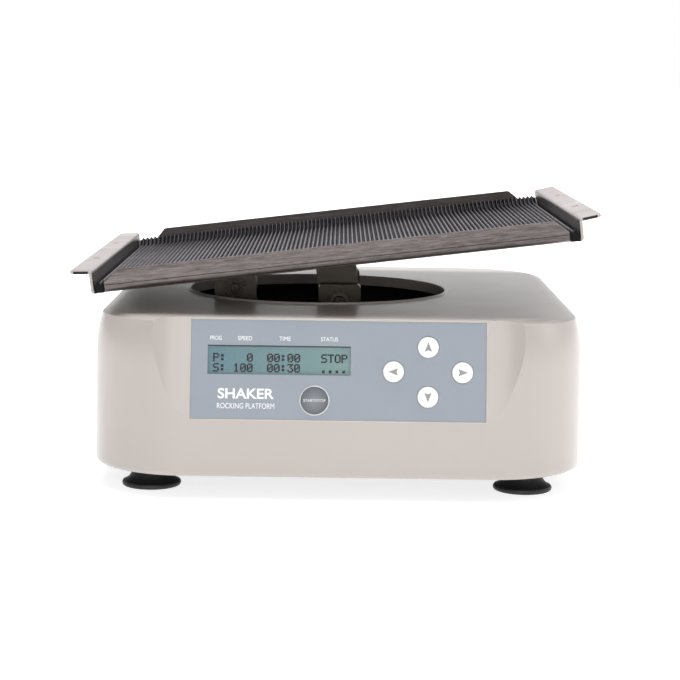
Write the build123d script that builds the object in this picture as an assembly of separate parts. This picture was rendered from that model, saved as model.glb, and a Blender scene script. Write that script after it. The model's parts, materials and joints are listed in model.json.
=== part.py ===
"""See-saw rocking platform shaker for a laboratory bench.

Millimetres. The origin is on the bench, under the middle of the housing. +X is to the user's right,
+Y points to the back of the machine and +Z is up. The platform is built in its parked position,
tilted with its left side down.
"""

import math
import os

from build123d import *

# housing
HALF_WIDTH = 139.0
HALF_DEPTH = 155.0
CORNER_R = 54.0
WALL = 3.0
BOTTOM_Z = 12.0
SHOULDER_Z = 75.0
CREASE_Z = 97.8
TOP_Z = 99.5
DRAFT = 0.5
SHOULDER_IN = 4.0
CROWN_IN = 10.5
BOSS_X, BOSS_Y, BOSS_R = 126.0, 70.0, 5.0

# round opening in the housing's top
OPENING_X, OPENING_Y, OPENING_R = -13.8, 2.9, 79.0
COLLAR_DEPTH = 5.5
BEAD_W, BEAD_H = 2.2, 0.9

# sloping control panel
PANEL_LEAN = 12.0
PANEL_TOP_Y, PANEL_TOP_Z = -143.7, 98.0
PANEL_HALF_W = 81.6
PANEL_LENGTH = 54.4
FILM_TOP = -0.15
SCOOP_R = 50.0
POCKET = 0.6
LCD_X, LCD_V, LCD_W, LCD_H = -32.7, 21.8, 78.7, 16.1
ARROW_R, START_R = 5.8, 7.6
ARROWS_X, ARROWS_V, ARROW_STEP_X, ARROW_STEP_V = 49.3, 27.4, 19.0, 13.7
KEYS = {
    "key_up": (ARROWS_X, ARROWS_V - ARROW_STEP_V, ARROW_R),
    "key_down": (ARROWS_X, ARROWS_V + ARROW_STEP_V, ARROW_R),
    "key_left": (ARROWS_X - ARROW_STEP_X, ARROWS_V, ARROW_R),
    "key_right": (ARROWS_X + ARROW_STEP_X, ARROWS_V, ARROW_R),
    "key_start": (-13.0, 43.8, START_R),
}
KEY_GAP = 0.3
KEY_PROUD = 0.5
KEY_BACK = 5.0
SWITCH_TOP = 5.85
BOARD_FACE = 8.4
BOARD_T = 1.6

# feet and base plate
FOOT_X, FOOT_Y, FOOT_R, FOOT_NECK_R = 105.5, 120.0, 16.7, 11.0
RECESS_R, RECESS_DEPTH = 4.5, 3.2
PLATE_T = 2.0
PLATE_Z = BOTTOM_Z + PLATE_T

# rocking mechanism
TILT = 7.0
PIVOT_Z = 95.4
TRAY_RISE = 30.8
SHAFT_R = 4.0
POST_W, POST_T, POST_TOP = 25.6, 12.0, 10.6
POST_FRONT_Y, POST_REAR_Y = -32.0, 60.0
BEARING_R, BEARING_W = 8.0, 5.0
HUB_W = 24.5
ROD_X, ROD_RISE = 62.0, 15.6
ROD_LENGTH, ROD_W = 50.0, 25.0
ROD_FRONT, ROD_BACK = -32.0, -22.0
LUG_FRONT, LUG_BACK = -20.0, -10.0
PIN_R = 3.0
SMALL_BEARING_R = 7.2
RUNNING = 0.03
CRANK_R, CRANK_FRONT, CRANK_BACK = 17.0, -19.0, -13.0
OPEN_PIVOT_GAP = 0.3
BRACKET_FRONT, BRACKET_BACK = -12.0, -8.0
GEARBOX_R, GEARBOX_BACK = 18.5, 20.0
MOTOR_R, MOTOR_BACK = 17.4, 74.0

# tray
TRAY_X, TRAY_HALF_W, TRAY_HALF_D, SHEET = 2.3, 137.9, 129.5, 1.5
SIDE_H = 12.7
FLANGE_W, FLANGE_SLOPE = 11.0, 6.0
FLANGE_HOLE_R, FLANGE_HOLE_Y, FLANGE_HOLE_OUT = 2.1, 50.0, 5.5
FRONT_LIP = (130.1, 122.0, 12.6)
BACK_LIP = (127.0, 118.5, 14.0)
LIP_SQUARE = 5.5
LIP_BEND = 4.2
MAT_T, MAT_CURL_R = 3.6, 9.0

# back wall and electronics
INLET_X, INLET_Z, SWITCH_X, SWITCH_SWING = 72.0, 46.0, 28.0, 14.0
BOARD_X, BOARD_Y, BOARD_Z = (-112.0, -16.0), (84.0, 142.0), 25.0
SUPPLY_X, SUPPLY_Y, SUPPLY_TOP = (62.0, 116.0), (-44.0, 82.0), 55.0
STANDOFF_PLACES = [(20, 7), (73, 7), (73, 48), (5, 47)]

# fixings of the mechanism
POST_SCREW_X = 7.5
HUB_SCREWS = [(0.0, -8.0), (0.0, 48.0), (0.0, 8.0), (0.0, 32.0)]
LUG_SCREWS = [(-ROD_X - 7.5, -15.0), (-ROD_X + 7.5, -15.0)]
BRACKET_SCREW_X, BRACKET_SCREW_Y = 16.0, 10.0
GEARBOX_SCREW_RING = 14.0

# derived places of the drive
ALPHA = math.radians(TILT)
CRANK_X = -ROD_X * math.cos(ALPHA)
CRANK_THROW = ROD_X * math.sin(ALPHA)
ROD_SIDE = ROD_RISE * math.sin(ALPHA)
ROD_DROP = math.sqrt(ROD_LENGTH**2 - ROD_SIDE**2)
CRANK_Z = PIVOT_Z + ROD_RISE * math.cos(ALPHA) - ROD_DROP
ROD_LEAN = -math.degrees(math.asin(ROD_SIDE / ROD_LENGTH))
WRIST_X = CRANK_X - ROD_SIDE
WRIST_Z = CRANK_Z - CRANK_THROW + ROD_DROP
POST_SCREWS = [
    (side * POST_SCREW_X, front + POST_T / 2) for front in (POST_FRONT_Y, POST_REAR_Y) for side in (-1, 1)
]
BRACKET_SCREWS = [(CRANK_X + side * BRACKET_SCREW_X, BRACKET_SCREW_Y) for side in (-1, 1)]
GEARBOX_SCREWS = [
    (
        CRANK_X + GEARBOX_SCREW_RING * math.cos(math.radians(turn)),
        CRANK_Z + GEARBOX_SCREW_RING * math.sin(math.radians(turn)),
    )
    for turn in range(30, 390, 60)
]

# frames used for placing pieces
LEAN = math.radians(PANEL_LEAN)
DOWN_PANEL = (0, -math.sin(LEAN), -math.cos(LEAN))
OUT_OF_PANEL = (0, -math.cos(LEAN), math.sin(LEAN))
PANEL_ORIGIN = (0, PANEL_TOP_Y, PANEL_TOP_Z)
PANEL = Plane(origin=PANEL_ORIGIN, x_dir=(1, 0, 0), z_dir=OUT_OF_PANEL)
PANEL_SECTION = Plane(origin=PANEL_ORIGIN, x_dir=(1, 0, 0), z_dir=DOWN_PANEL)
PLATFORM = Pos(0, 0, PIVOT_Z) * Rot(0, -TILT, 0)
ROD_FRAME = Pos(WRIST_X, 0, WRIST_Z) * Rot(0, ROD_LEAN, 0)
FOUR_CORNERS = [(sx, sy) for sx in (-1, 1) for sy in (-1, 1)]


def box(x, y, z):
    """A block between the two limits given for each axis."""
    size = [limits[1] - limits[0] for limits in (x, y, z)]
    middle = [(limits[0] + limits[1]) / 2 for limits in (x, y, z)]
    return Pos(*middle) * Box(*size)


def bar_y(radius, front, back, x=0, z=0):
    """A round bar along Y."""
    return Pos(x, (front + back) / 2, z) * Rot(90, 0, 0) * Cylinder(radius, back - front)


def bar_z(radius, low, high, x=0, y=0):
    """A round bar along Z."""
    return Pos(x, y, (low + high) / 2) * Cylinder(radius, high - low)


def ring_y(outer, inner, front, back, x=0, z=0):
    """A round ring whose axis is along Y."""
    return bar_y(outer, front, back, x, z) - bar_y(inner, front - 1, back + 1, x, z)


def plate_xz(outline, front, back):
    """A flat plate in the XZ plane, from a closed outline drawn in X and Z."""
    face = Plane.XZ.offset(-front) * outline
    return extrude(face, amount=back - front, dir=(0, 1, 0))


def on_panel(x, v, height, shape):
    """Puts a shape on the sloping panel: x across, v down from its top edge, height above it."""
    return PANEL * Pos(x, -v, height) * shape


def panel_block(x, v, height):
    """A block between limits in panel coordinates."""
    middle = [(limits[0] + limits[1]) / 2 for limits in (x, v, height)]
    size = [limits[1] - limits[0] for limits in (x, v, height)]
    return on_panel(*middle, Box(*size))


def panel_disc(x, v, radius, low, high):
    """A disc between two heights in panel coordinates."""
    return on_panel(x, v, (low + high) / 2, Cylinder(radius, high - low))


def hexagon(across, low, high, x, y):
    """A hexagonal nut blank along Z."""
    prism = extrude(RegularPolygon(across / 2, 6, major_radius=False), high - low)
    return Pos(x, y, low) * prism


def pan_screw_z(x, y, seat, head_r, head_h, shank_r, length):
    """A screw driven upwards: its head hangs below the seat and its shank goes up from it."""
    head = bar_z(head_r, seat - head_h, seat, x, y)
    head = fillet(head.edges().sort_by(Axis.Z)[0], head_h * 0.35)
    cross = Box(head_r, 0.8, 1.2) + Box(0.8, head_r, 1.2)
    return head + bar_z(shank_r, seat, seat + length, x, y) - Pos(x, y, seat - head_h) * cross


def pan_screw_y(x, z, seat, head_r, head_h, shank_r, length, back=False):
    """A screw along Y whose head stands in front of the seat, or behind it."""
    screw = Rot(-90, 0, 0) * pan_screw_z(0, 0, 0, head_r, head_h, shank_r, length)
    turn = Rot(0, 0, 180) if back else Rot(0, 0, 0)
    return Pos(x, seat, z) * turn * screw


# ---------------------------------------------------------------- housing
def housing_profile(inset, low, rounded):
    """Half section of the housing, measured outwards from a corner's centre."""
    reach = CORNER_R - inset
    side, crease, flat = reach - DRAFT, reach - SHOULDER_IN, reach - CROWN_IN
    rise, run = CREASE_Z - SHOULDER_Z, SHOULDER_IN - DRAFT
    half = math.atan2(run, rise)
    bend_r = rise / math.sin(2 * half)
    shoulder_mid = (side - bend_r * (1 - math.cos(half)), SHOULDER_Z + bend_r * math.sin(half) - inset)
    crown, drop = crease - flat, TOP_Z - CREASE_Z
    crown_r = (crown**2 + drop**2) / (2 * drop)
    part_way = math.asin(crown / crown_r) / 2
    crown_mid = (flat + crown_r * math.sin(part_way), TOP_Z - inset - crown_r * (1 - math.cos(part_way)))
    corner = (crease, CREASE_Z - inset)
    lines = [
        Line((0, low), (reach, low)),
        Line((reach, low), (side, SHOULDER_Z - inset)),
        ThreePointArc((side, SHOULDER_Z - inset), shoulder_mid, corner),
        ThreePointArc(corner, crown_mid, (flat, TOP_Z - inset)),
        Line((flat, TOP_Z - inset), (0, TOP_Z - inset)),
        Line((0, TOP_Z - inset), (0, low)),
    ]
    face = make_face(lines)
    if rounded:
        crease_point = face.vertices().sort_by_distance((corner[0], corner[1], 0))[0]
        face = fillet(crease_point, 0.8)
        foot_point = face.vertices().sort_by_distance((reach, low, 0))[0]
        face = fillet(foot_point, 2.6)
    return face


def housing_block(inset, low, rounded=False):
    """The housing as a solid block: four turned corners joined by straight sides."""
    section = Plane.XZ * housing_profile(inset, low, rounded)
    centre_x, centre_y = HALF_WIDTH - CORNER_R, HALF_DEPTH - CORNER_R
    quarter = revolve(section, Axis.Z, 90)
    side = extrude(section, amount=2 * centre_y, dir=(0, 1, 0))
    end = Rot(0, 0, 90) * extrude(section, amount=2 * centre_x, dir=(0, 1, 0))
    top = TOP_Z - inset
    block = box((-centre_x, centre_x), (-centre_y, centre_y), (low, top))
    block += Pos(centre_x, -centre_y, 0) * side
    block += Rot(0, 0, 180) * Pos(centre_x, -centre_y, 0) * side
    block += Pos(centre_x, centre_y, 0) * end
    block += Rot(0, 0, 180) * Pos(centre_x, centre_y, 0) * end
    for turn, sx, sy in ((0, 1, 1), (90, -1, 1), (180, -1, -1), (270, 1, -1)):
        block += Pos(sx * centre_x, sy * centre_y, 0) * Rot(0, 0, turn) * quarter
    return block


def scoop(grow):
    """The tool that hollows the front for the sloping panel, with round cheeks at both ends."""
    width, radius, high = PANEL_HALF_W, SCOOP_R + grow, 70.0
    reach = width + radius
    slant = radius * math.sqrt(0.5)
    lines = [
        Line((-width, -grow), (width, -grow)),
        ThreePointArc((width, -grow), (width + slant, SCOOP_R - slant), (reach, SCOOP_R)),
        Line((reach, SCOOP_R), (reach, high)),
        Line((reach, high), (-reach, high)),
        Line((-reach, high), (-reach, SCOOP_R)),
        ThreePointArc((-reach, SCOOP_R), (-width - slant, SCOOP_R - slant), (-width, -grow)),
    ]
    section = PANEL_SECTION * Pos(0, 0, -30) * make_face(lines)
    return extrude(section, amount=110, dir=DOWN_PANEL)


def make_top_cover():
    """Moulded upper housing with its scooped panel, round opening and screw bosses."""
    cavity = housing_block(WALL, -1.0) - scoop(WALL)
    cover = housing_block(0, BOTTOM_Z, rounded=True) - scoop(0) - cavity
    inner, top = OPENING_R, TOP_Z
    bead = [
        (inner, top - COLLAR_DEPTH),
        (inner, top + BEAD_H * 0.6),
        (inner + BEAD_W * 0.3, top + BEAD_H),
        (inner + BEAD_W * 0.7, top + BEAD_H * 0.8),
        (inner + BEAD_W, top),
        (inner + BEAD_W, top - COLLAR_DEPTH),
    ]
    collar = revolve(Plane.XZ * make_face(Polyline(*bead, close=True)), Axis.Z)
    cover -= bar_z(OPENING_R + 1, TOP_Z - 8, TOP_Z + 3, OPENING_X, OPENING_Y)
    cover += Pos(OPENING_X, OPENING_Y, 0) * collar
    for sx, sy in FOUR_CORNERS:
        cover += bar_z(BOSS_R, PLATE_Z + 0.05, TOP_Z - WALL + 1, sx * BOSS_X, sy * BOSS_Y)
        cover -= bar_z(2.0, PLATE_Z - 1, PLATE_Z + 20, sx * BOSS_X, sy * BOSS_Y)
    half = PANEL_HALF_W
    cover -= panel_block((-half, half), (FILM_TOP - 0.35, PANEL_LENGTH + 0.3), (-POCKET, 3))
    cover -= panel_block(
        (LCD_X - LCD_W / 2 - 1.1, LCD_X + LCD_W / 2 + 1.1),
        (LCD_V - LCD_H / 2 - 1.1, LCD_V + LCD_H / 2 + 1.1),
        (-6, 3),
    )
    for x, v, radius in KEYS.values():
        cover -= panel_disc(x, v, radius + KEY_GAP, -6, 3)
    cover -= box((INLET_X - 14.2, INLET_X + 14.2), (140, 160), (INLET_Z - 10.4, INLET_Z + 10.4))
    cover -= box((SWITCH_X - 7.2, SWITCH_X + 7.2), (140, 160), (INLET_Z - 10.2, INLET_Z + 10.2))
    for side in (-1, 1):
        cover -= bar_y(1.7, 140, 160, INLET_X + side * 20, INLET_Z)
    return cover


def make_base_plate():
    """Steel floor of the machine with holes for the feet and the cover's screws."""
    gap = WALL + 0.4
    outline = RectangleRounded(2 * (HALF_WIDTH - gap), 2 * (HALF_DEPTH - gap), CORNER_R - gap)
    plate = Pos(0, 0, BOTTOM_Z) * extrude(outline, PLATE_T)
    for sx, sy in FOUR_CORNERS:
        plate -= bar_z(2.2, 10, 20, sx * FOOT_X, sy * FOOT_Y)
        plate -= bar_z(2.1, 10, 20, sx * BOSS_X, sy * BOSS_Y)
    for x, y in POST_SCREWS + BRACKET_SCREWS:
        plate -= bar_z(2.1, 10, 20, x, y)
    return plate


def make_foot():
    """Flared rubber foot with a stepped recess that hides its screw."""
    outline = make_face(
        [
            Line((0, 0), (FOOT_R - 1.3, 0)),
            ThreePointArc((FOOT_R - 1.3, 0), (FOOT_R, 1.5), (FOOT_R - 0.6, 3.0)),
            ThreePointArc((FOOT_R - 0.6, 3.0), (FOOT_NECK_R + 1.6, 5.4), (FOOT_NECK_R, 9.0)),
            Line((FOOT_NECK_R, 9.0), (FOOT_NECK_R, BOTTOM_Z)),
            Line((FOOT_NECK_R, BOTTOM_Z), (0, BOTTOM_Z)),
            Line((0, BOTTOM_Z), (0, 0)),
        ]
    )
    foot = revolve(Plane.XZ * outline, Axis.Z)
    foot -= bar_z(RECESS_R, -1, RECESS_DEPTH)
    foot -= bar_z(4.1, 0, 6.2)
    return foot - bar_z(2.2, 0, 20)


def make_foot_screws():
    """Four screws that hold the feet to the base plate."""
    return [
        pan_screw_z(sx * FOOT_X, sy * FOOT_Y, 6.2, 3.8, 2.6, 2.0, 14.0) for sx, sy in FOUR_CORNERS
    ]


def make_foot_nuts():
    """Four nuts on top of the base plate."""
    nuts = []
    for sx, sy in FOUR_CORNERS:
        nut = hexagon(7.0, PLATE_Z, PLATE_Z + 3.2, sx * FOOT_X, sy * FOOT_Y)
        nuts.append(nut - bar_z(2.0 + RUNNING, 10, 25, sx * FOOT_X, sy * FOOT_Y))
    return nuts


def make_cover_screws():
    """Four screws that go up through the base plate into the cover's bosses."""
    return [
        pan_screw_z(sx * BOSS_X, sy * BOSS_Y, BOTTOM_Z, 3.5, 2.2, 1.9, 18.0) for sx, sy in FOUR_CORNERS
    ]


# ---------------------------------------------------------------- control panel
def make_panel_overlay():
    """Printed front sheet in its shallow pocket, cut out for the display and the keys."""
    half = PANEL_HALF_W - 0.35
    sheet = panel_block((-half, half), (FILM_TOP, PANEL_LENGTH), (-POCKET + 0.02, -0.12))
    sheet -= panel_block(
        (LCD_X - LCD_W / 2, LCD_X + LCD_W / 2), (LCD_V - LCD_H / 2, LCD_V + LCD_H / 2), (-2, 2)
    )
    for x, v, radius in KEYS.values():
        sheet -= panel_disc(x, v, radius + KEY_GAP, -2, 2)
    return sheet


def display_block(margin, low, high):
    """A block behind the display's cut-out, larger than it by a margin all round."""
    return panel_block(
        (LCD_X - LCD_W / 2 - margin, LCD_X + LCD_W / 2 + margin),
        (LCD_V - LCD_H / 2 - margin, LCD_V + LCD_H / 2 + margin),
        (low, high),
    )


def make_lcd_board():
    """Circuit board that carries the display glass, with its driver under a round blob."""
    board = display_block(4.2, -6.4, -4.8) + display_block(1.0, -4.8, -3.7)
    for x in (-52.0, -20.0):
        board += panel_disc(x, LCD_V, 6.0, -8.0, -6.4)
    return board


def make_key(x, v, radius):
    """Round key cap with a collar behind the cover that keeps it in."""
    cap = panel_disc(x, v, radius, -KEY_BACK, KEY_PROUD)
    front = cap.edges().sort_by(Axis(PANEL_ORIGIN, OUT_OF_PANEL))[-1]
    cap = fillet(front, 0.35)
    return cap + panel_disc(x, v, radius + 1.2, -KEY_BACK, -WALL - KEY_GAP)


def make_keypad_board():
    """L-shaped circuit board behind the keys."""
    low, high = -BOARD_FACE - BOARD_T, -BOARD_FACE
    board = panel_block((16, 77), (3, 51.5), (low, high)) + panel_block((-24, 16), (34, 51.5), (low, high))
    for x, v in STANDOFF_PLACES:
        board -= panel_disc(x, v, 1.4, low - 1, high + 1)
    return board


def make_tact_switches():
    """One small push switch behind each key."""
    switches = []
    for x, v, _ in KEYS.values():
        body = panel_block((x - 3, x + 3), (v - 3, v + 3), (-BOARD_FACE, -SWITCH_TOP - 0.6))
        switches.append(body + panel_disc(x, v, 1.7, -SWITCH_TOP - 0.6, -SWITCH_TOP))
    return switches


def make_panel_standoffs():
    """Round pillars between the cover and the keypad board."""
    return [panel_disc(x, v, 2.4, -BOARD_FACE, -WALL - 0.02) for x, v in STANDOFF_PLACES]


# ---------------------------------------------------------------- power and control
def make_power_inlet():
    """Three-pin mains inlet: a flange, a body with a socket in it, and its blades."""
    flange = plate_xz(RectangleRounded(50.0, 23.0, 6.0), 0, 2.0)
    body = box((-13.8, 13.8), (-18.0, 0), (-10.0, 10.0))
    socket = box((-12.0, 12.0), (-15.0, 3.0), (-8.0, 8.0))
    inlet = flange + body - socket
    for side in (-1, 1):
        inlet -= bar_y(1.7, -1, 3, side * 20)
        inlet += box((side * 7 - 1, side * 7 + 1), (-16.0, -1.5), (-4.0, 0.0))
    inlet += box((-1, 1), (-16.0, -0.5), (2.0, 6.0))
    return Pos(INLET_X, HALF_DEPTH, INLET_Z) * inlet


def make_inlet_screws():
    """Two screws through the inlet's flange into the cover's wall."""
    return [
        pan_screw_y(INLET_X + side * 20, INLET_Z, HALF_DEPTH + 2.0, 2.9, 1.8, 1.5, 9.0, back=True)
        for side in (-1, 1)
    ]


def make_switch_frame():
    """Bezel and box of the power switch, with the bearings of its rocker."""
    bezel = plate_xz(RectangleRounded(17.0, 23.0, 1.5), 0, 1.6)
    body = box((-7.0, 7.0), (-14.0, 0), (-10.0, 10.0))
    frame = bezel + body - box((-5.6, 5.6), (-10.5, 3.0), (-8.7, 8.7))
    trunnion_hole = Pos(0, -1.4, 0) * Rot(0, 90, 0) * Cylinder(1.05, 13.2)
    return Pos(SWITCH_X, HALF_DEPTH, INLET_Z) * (frame - trunnion_hole)


def make_switch_rocker():
    """Rocker of the power switch with its two trunnions, parked with its upper half pressed in."""
    outline = make_face(
        [
            Polyline((3.2, -7.6), (1.6, -8.0), (-2.6, -6.0), (-2.6, 6.0), (1.6, 8.0), (3.2, 7.6)),
            ThreePointArc((3.2, 7.6), (1.2, 0), (3.2, -7.6)),
        ]
    )
    rocker = extrude(Plane.YZ * outline, 5.2, both=True)
    rocker += Rot(0, 90, 0) * Cylinder(1.0, 12.8)
    return Pos(SWITCH_X, HALF_DEPTH - 1.4, INLET_Z) * Rot(SWITCH_SWING / 2, 0, 0) * rocker


def make_controller_board():
    """Main circuit board with its larger components."""
    x0, x1 = BOARD_X
    y0, y1 = BOARD_Y
    board = box(BOARD_X, BOARD_Y, (BOARD_Z, BOARD_Z + BOARD_T))
    for sx in (x0 + 5, x1 - 5):
        for sy in (y0 + 5, y1 - 5):
            board -= bar_z(1.6, BOARD_Z - 1, BOARD_Z + 3, sx, sy)
    top = BOARD_Z + BOARD_T
    board += box((x0 + 14, x0 + 34), (y0 + 10, y0 + 30), (top, top + 2.4))
    board += box((x1 - 34, x1 - 14), (y1 - 16, y1 - 8), (top, top + 9.0))
    board += box((x0 + 44, x0 + 56), (y0 + 8, y0 + 24), (top, top + 14.0))
    for step in range(3):
        board += bar_z(5.0, top, top + 15.0, x0 + 16 + 13 * step, y1 - 14)
    return board


def make_board_spacers():
    """Pillars under the main circuit board."""
    x0, x1 = BOARD_X
    y0, y1 = BOARD_Y
    return [bar_z(3.0, PLATE_Z, BOARD_Z, x, y) for x in (x0 + 5, x1 - 5) for y in (y0 + 5, y1 - 5)]


def make_power_supply():
    """Closed metal power supply with a folded lid and terminal block."""
    low = PLATE_Z
    case = box(SUPPLY_X, SUPPLY_Y, (low, SUPPLY_TOP))
    case = fillet(case.edges().filter_by(Axis.Y), 1.5)
    x0, x1 = SUPPLY_X
    for step in range(9):
        y = SUPPLY_Y[0] + 16 + 10 * step
        case -= box((x0 + 12, x1 - 12), (y - 1.5, y + 1.5), (SUPPLY_TOP - 1.2, SUPPLY_TOP + 1))
    return case + box((x0 + 6, x1 - 6), (SUPPLY_Y[1], SUPPLY_Y[1] + 11), (low, low + 14))


# ---------------------------------------------------------------- pivot
def make_post(front):
    """Upright that carries one end of the rocker shaft."""
    top = PIVOT_Z + POST_TOP
    post = box((-POST_W / 2, POST_W / 2), (front, front + POST_T), (PLATE_Z, top))
    corners = post.edges().filter_by(Axis.Y).group_by(Axis.Z)[-1]
    post = fillet(corners, 2.5)
    outside = front if front < 0 else front + POST_T - BEARING_W
    post -= bar_y(BEARING_R + 0.01, outside, outside + BEARING_W, 0, PIVOT_Z)
    post -= bar_y(SHAFT_R + 1.6, front - 1, front + POST_T + 1, 0, PIVOT_Z)
    for x, y in POST_SCREWS:
        post -= bar_z(2.1, PLATE_Z - 1, PLATE_Z + 14, x, y)
    return post


def ball_bearing(bearing_r, bore_r, front, x, z):
    """Ball bearing seen as its two rings with a recessed shield between them."""
    back = front + BEARING_W
    step = (bearing_r - bore_r) / 3
    bearing = ring_y(bearing_r, bore_r, front, back, x, z)
    for face, deep in ((front, front + 0.5), (back - 0.5, back)):
        bearing -= ring_y(bearing_r - step * 0.7, bore_r + step * 0.7, face, deep, x, z)
    return bearing


def make_post_screws():
    """Screws that hold both posts down."""
    return [pan_screw_z(x, y, BOTTOM_Z, 3.6, 2.4, 2.0, 14.0) for x, y in POST_SCREWS]


def make_rocker_shaft():
    """Round shaft that the platform rocks on, with chamfered ends."""
    shaft = bar_y(SHAFT_R, POST_FRONT_Y - 1.6, POST_REAR_Y + POST_T + 1.6)
    return PLATFORM * chamfer(shaft.edges(), 0.5)


def make_shaft_rings():
    """Retaining rings at both ends of the shaft."""
    rings = []
    for front in (POST_FRONT_Y - 1.1, POST_REAR_Y + POST_T + 0.3):
        rings.append(PLATFORM * ring_y(SHAFT_R + 1.7, SHAFT_R + 0.01, front, front + 0.8))
    return rings


def make_hub_bracket():
    """Block under the tray that clamps the rocker shaft."""
    front, back = POST_FRONT_Y + POST_T + 0.4, POST_REAR_Y - 0.4
    hub = box((-HUB_W / 2, HUB_W / 2), (front, back), (-12.0, TRAY_RISE))
    hub = fillet(hub.edges().filter_by(Axis.Y).group_by(Axis.Z)[0], 4.0)
    hub -= box((-HUB_W, HUB_W), (front + 16, back - 16), (-13, 18))
    hub -= bar_y(SHAFT_R + 0.01, front - 1, back + 1)
    for x, y in HUB_SCREWS:
        hub -= bar_z(1.65, TRAY_RISE - 12, TRAY_RISE + 1, x, y)
    return PLATFORM * hub


def make_tray_screws():
    """Countersunk screws from the tray into the hub bracket and the rod's lug."""
    screws = []
    for x, y in HUB_SCREWS + LUG_SCREWS:
        head = Pos(x, y, TRAY_RISE + SHEET / 2) * Cone(1.6, 3.0, SHEET)
        screws.append(PLATFORM * (head + bar_z(1.6, TRAY_RISE - 10, TRAY_RISE, x, y)))
    return screws


# ---------------------------------------------------------------- drive
def rod_outline(top, corner):
    """Outline of a link: round lower end, square upper end with small corners."""
    half = ROD_W / 2
    return Pos(0, (top - ROD_LENGTH) / 2) * RectangleRounded(ROD_W, top + ROD_LENGTH, corner) + Pos(
        0, -ROD_LENGTH
    ) * Circle(half)


def make_connecting_rod():
    """Flat rod between the crank and the tray, bored for a bearing at each end."""
    rod = plate_xz(rod_outline(12.0, 2.5), ROD_FRONT, ROD_BACK)
    for z in (0, -ROD_LENGTH):
        rod -= bar_y(SMALL_BEARING_R + 0.01, ROD_FRONT, ROD_FRONT + BEARING_W, 0, z)
        rod -= bar_y(PIN_R + 1.5, ROD_FRONT - 1, ROD_BACK + 1, 0, z)
    return ROD_FRAME * rod


def make_rod_bearing(drop):
    """Bearing in one end of the rod."""
    return ROD_FRAME * ball_bearing(SMALL_BEARING_R, PIN_R + RUNNING, ROD_FRONT, 0, -drop)


def make_rod_lug():
    """Lug under the tray that holds the wrist pin."""
    half = ROD_W / 2
    tall = TRAY_RISE - ROD_RISE
    outline = Circle(half) + Pos(0, tall / 2) * Rectangle(ROD_W, tall)
    lug = plate_xz(outline, LUG_FRONT, LUG_BACK)
    lug -= bar_y(PIN_R + 0.01, LUG_FRONT - 1, LUG_BACK + 1)
    lug = Pos(-ROD_X, 0, ROD_RISE) * lug
    for x, y in LUG_SCREWS:
        lug -= bar_z(1.65, TRAY_RISE - 11, TRAY_RISE + 1, x, y)
    return PLATFORM * lug


def make_wrist_pin():
    """Pin that joins the rod to the tray's lug, with a thin head and a spacer collar."""
    pin = bar_y(PIN_R, ROD_FRONT - 0.4, LUG_BACK)
    pin = chamfer(pin.edges().sort_by(Axis.Y)[0], 0.4)
    pin += ring_y(PIN_R + 1.2, PIN_R, ROD_BACK + 0.3, LUG_FRONT)
    return PLATFORM * Pos(-ROD_X, 0, ROD_RISE) * pin


def make_crank_pin():
    """Shoulder pin in the rod's lower end; it stops just clear of the crank disc."""
    pin = bar_y(PIN_R, ROD_FRONT - 0.4, CRANK_FRONT - OPEN_PIVOT_GAP, 0, -ROD_LENGTH)
    return ROD_FRAME * (pin + bar_y(PIN_R + 2, ROD_FRONT - 2.6, ROD_FRONT - 0.4, 0, -ROD_LENGTH))


def make_crank_disc():
    """Balanced crank disc with the threaded seat of the crank pin."""
    disc = bar_y(CRANK_R, CRANK_FRONT, CRANK_BACK)
    disc = chamfer(disc.edges(), 0.6)
    disc -= bar_y(PIN_R + 0.01, CRANK_FRONT - 1, CRANK_BACK + 1)
    disc -= bar_y(2.1, CRANK_FRONT - 1, CRANK_BACK + 1, 0, -CRANK_THROW)
    return Pos(CRANK_X, 0, CRANK_Z) * disc


def make_output_shaft():
    """Output shaft of the gearbox."""
    return bar_y(PIN_R, CRANK_FRONT, GEARBOX_BACK - 16, CRANK_X, CRANK_Z)


def make_motor_bracket():
    """Folded bracket that holds the gearbox by its front face."""
    half = 24.0
    upright = box((-half, half), (BRACKET_FRONT, BRACKET_BACK), (PLATE_Z, CRANK_Z + 22))
    upright = fillet(upright.edges().filter_by(Axis.Y).group_by(Axis.Z)[-1], 6)
    foot = box((-half, half), (BRACKET_BACK, BRACKET_BACK + 26), (PLATE_Z, PLATE_Z + 4))
    bracket = Pos(CRANK_X, 0, 0) * (upright + foot)
    bracket -= bar_y(6.1, BRACKET_FRONT - 1, BRACKET_BACK + 1, CRANK_X, CRANK_Z)
    for x, z in GEARBOX_SCREWS:
        bracket -= bar_y(1.7, BRACKET_FRONT - 1, BRACKET_BACK + 1, x, z)
    for x, y in BRACKET_SCREWS:
        bracket -= bar_z(2.1, PLATE_Z - 1, PLATE_Z + 6, x, y)
    return bracket


def make_gearbox():
    """Round reduction gearbox with a front boss around its output shaft."""
    boss = bar_y(6.0, BRACKET_FRONT + 0.4, BRACKET_BACK)
    body = bar_y(GEARBOX_R, BRACKET_BACK, GEARBOX_BACK)
    for y in (4.0, 12.0):
        body -= ring_y(GEARBOX_R + 1, GEARBOX_R - 0.6, y, y + 0.8)
    bore = bar_y(PIN_R + RUNNING, BRACKET_FRONT - 1, GEARBOX_BACK - 15.5)
    gearbox = Pos(CRANK_X, 0, CRANK_Z) * (boss + body - bore)
    for x, z in GEARBOX_SCREWS:
        gearbox -= bar_y(1.6, BRACKET_BACK - 1, BRACKET_BACK + 7, x, z)
    return gearbox


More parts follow.
